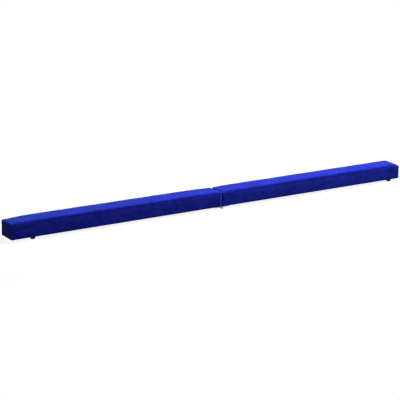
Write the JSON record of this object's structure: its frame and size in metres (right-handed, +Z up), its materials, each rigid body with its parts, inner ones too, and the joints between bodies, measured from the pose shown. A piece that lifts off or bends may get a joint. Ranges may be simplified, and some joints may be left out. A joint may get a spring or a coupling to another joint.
{
  "type": "balance beam",
  "caption": "Folding floor balance beam: two padded, suede-covered sections joined by a butt hinge underneath, standing on tapered rubber feet.",
  "frame": {"origin": "on the floor under the middle of the beam, halfway between the two sections and across the width", "axes": "+X along the beam towards the right section, +Y towards the rear, +Z up"},
  "size_m": [2.13, 0.103, 0.0845],
  "materials": {
    "suede": "matte",
    "eva_foam": "matte",
    "dust_cloth": "matte",
    "plywood": "matte",
    "pine": "matte",
    "foot_rubber": "matte",
    "zinc_steel": "satin",
    "staple_wire": "satin"
  },
  "bodies": {
    "left_section": {"bottom_deck_left": "plywood", "centre_block_left": "pine", "cover_left": "suede", "dust_cover_left": "dust_cloth", "foam_front_left": "eva_foam", "foam_hinge_end_left": "eva_foam", "foam_outer_end_left": "eva_foam", "foam_rear_left": "eva_foam", "foam_top_left": "eva_foam", "foot_front_left": "foot_rubber", "foot_rear_left": "foot_rubber", "foot_screws_left": "zinc_steel", "foot_washers_left": "zinc_steel", "front_rail_left": "pine", "hinge_block_left": "pine", "hinge_leaf_left": "zinc_steel", "hinge_screws_left": "zinc_steel", "outer_block_left": "pine", "rear_rail_left": "pine", "staples_left": "staple_wire", "top_deck_left": "plywood", "hinge_pin": "zinc_steel"},
    "right_section": {"bottom_deck_right": "plywood", "centre_block_right": "pine", "cover_right": "suede", "dust_cover_right": "dust_cloth", "foam_front_right": "eva_foam", "foam_hinge_end_right": "eva_foam", "foam_outer_end_right": "eva_foam", "foam_rear_right": "eva_foam", "foam_top_right": "eva_foam", "foot_front_right": "foot_rubber", "foot_rear_right": "foot_rubber", "foot_screws_right": "zinc_steel", "foot_washers_right": "zinc_steel", "front_rail_right": "pine", "hinge_block_right": "pine", "hinge_leaf_right": "zinc_steel", "hinge_screws_right": "zinc_steel", "outer_block_right": "pine", "rear_rail_right": "pine", "staples_right": "staple_wire", "top_deck_right": "plywood"}
  },
  "joints": [
    {"name": "fold", "type": "hinge", "parent": "left_section", "child": "right_section", "pos_m": [0, 0, 0.00605], "axis": [0, 1, 0], "range_deg": [0, 179.9]}
  ]
}
